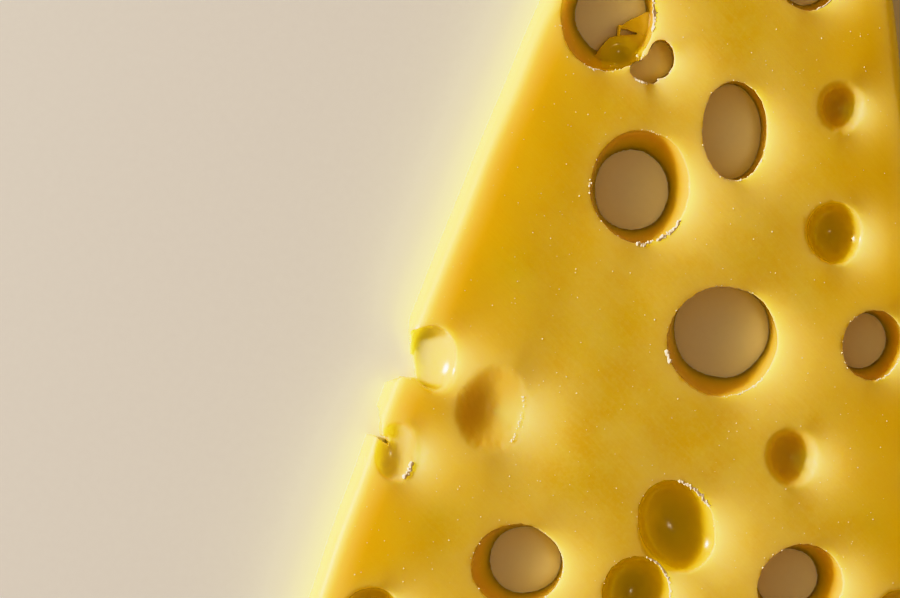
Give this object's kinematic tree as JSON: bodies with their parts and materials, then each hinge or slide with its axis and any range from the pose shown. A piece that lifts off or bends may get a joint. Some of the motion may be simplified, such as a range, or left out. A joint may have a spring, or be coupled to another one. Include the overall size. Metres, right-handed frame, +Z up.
{
  "type": "wedge-shaped cheese slice",
  "caption": "Thin triangular slice of holey semi-hard cheese, lying flat, with round eyes of many sizes as pits and through holes; two of them break the left side.",
  "frame": {"origin": "middle of the slice's box, on the surface it rests on", "axes": "+Y from the rind end to the tip, +Z up, normal to the broad faces, +X to the right side seen from above with the tip away"},
  "size_m": [0.0961, 0.1838, 0.0048],
  "materials": {
    "cheese": "satin cut faces and smoother, glossy eye walls, slightly translucent golden yellow"
  },
  "bodies": {
    "root": {"cheese_slice": "cheese"}
  },
  "joints": []
}
